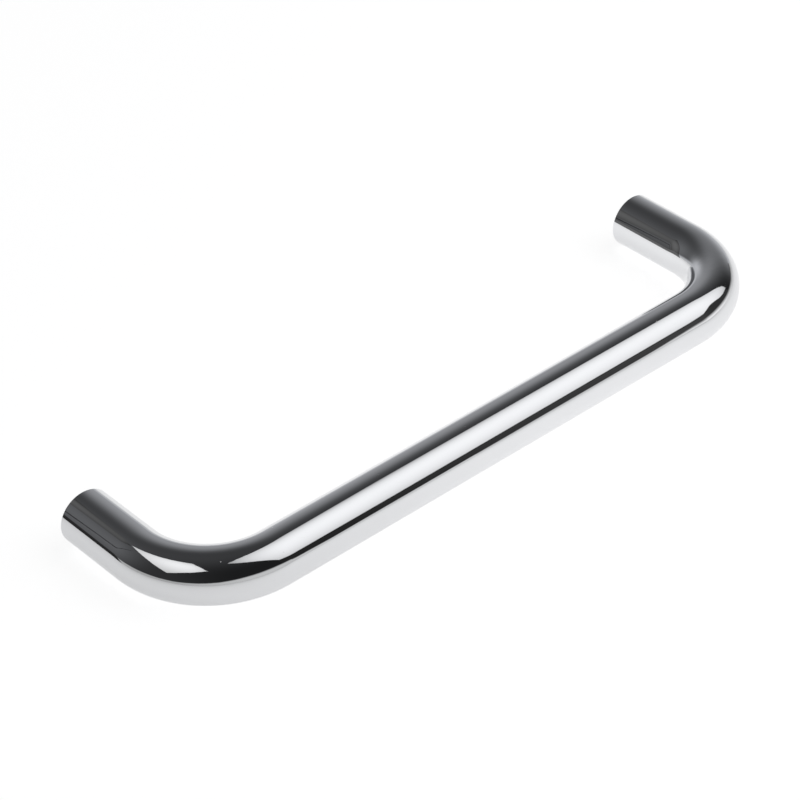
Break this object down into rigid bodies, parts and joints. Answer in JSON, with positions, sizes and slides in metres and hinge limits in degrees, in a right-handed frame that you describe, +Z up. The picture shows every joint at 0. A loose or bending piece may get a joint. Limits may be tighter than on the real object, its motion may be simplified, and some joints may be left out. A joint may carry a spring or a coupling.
{
  "type": "bar pull",
  "caption": "D-shaped bar pull bent from one round bar in polished chrome, with a tapped blind hole in each foot, for screwing to a drawer or cupboard front.",
  "frame": {"origin": "midway between the two screw holes, on the mounting plane where the feet meet the front panel", "axes": "+X along the grip, +Y out of the feet into the panel, +Z up, square to the plane of the bends"},
  "size_m": [0.138, 0.035, 0.01],
  "materials": {
    "chrome_bar": "mirror polished chrome plate on steel"
  },
  "bodies": {
    "root": {"bar_pull": "chrome_bar"}
  },
  "joints": []
}
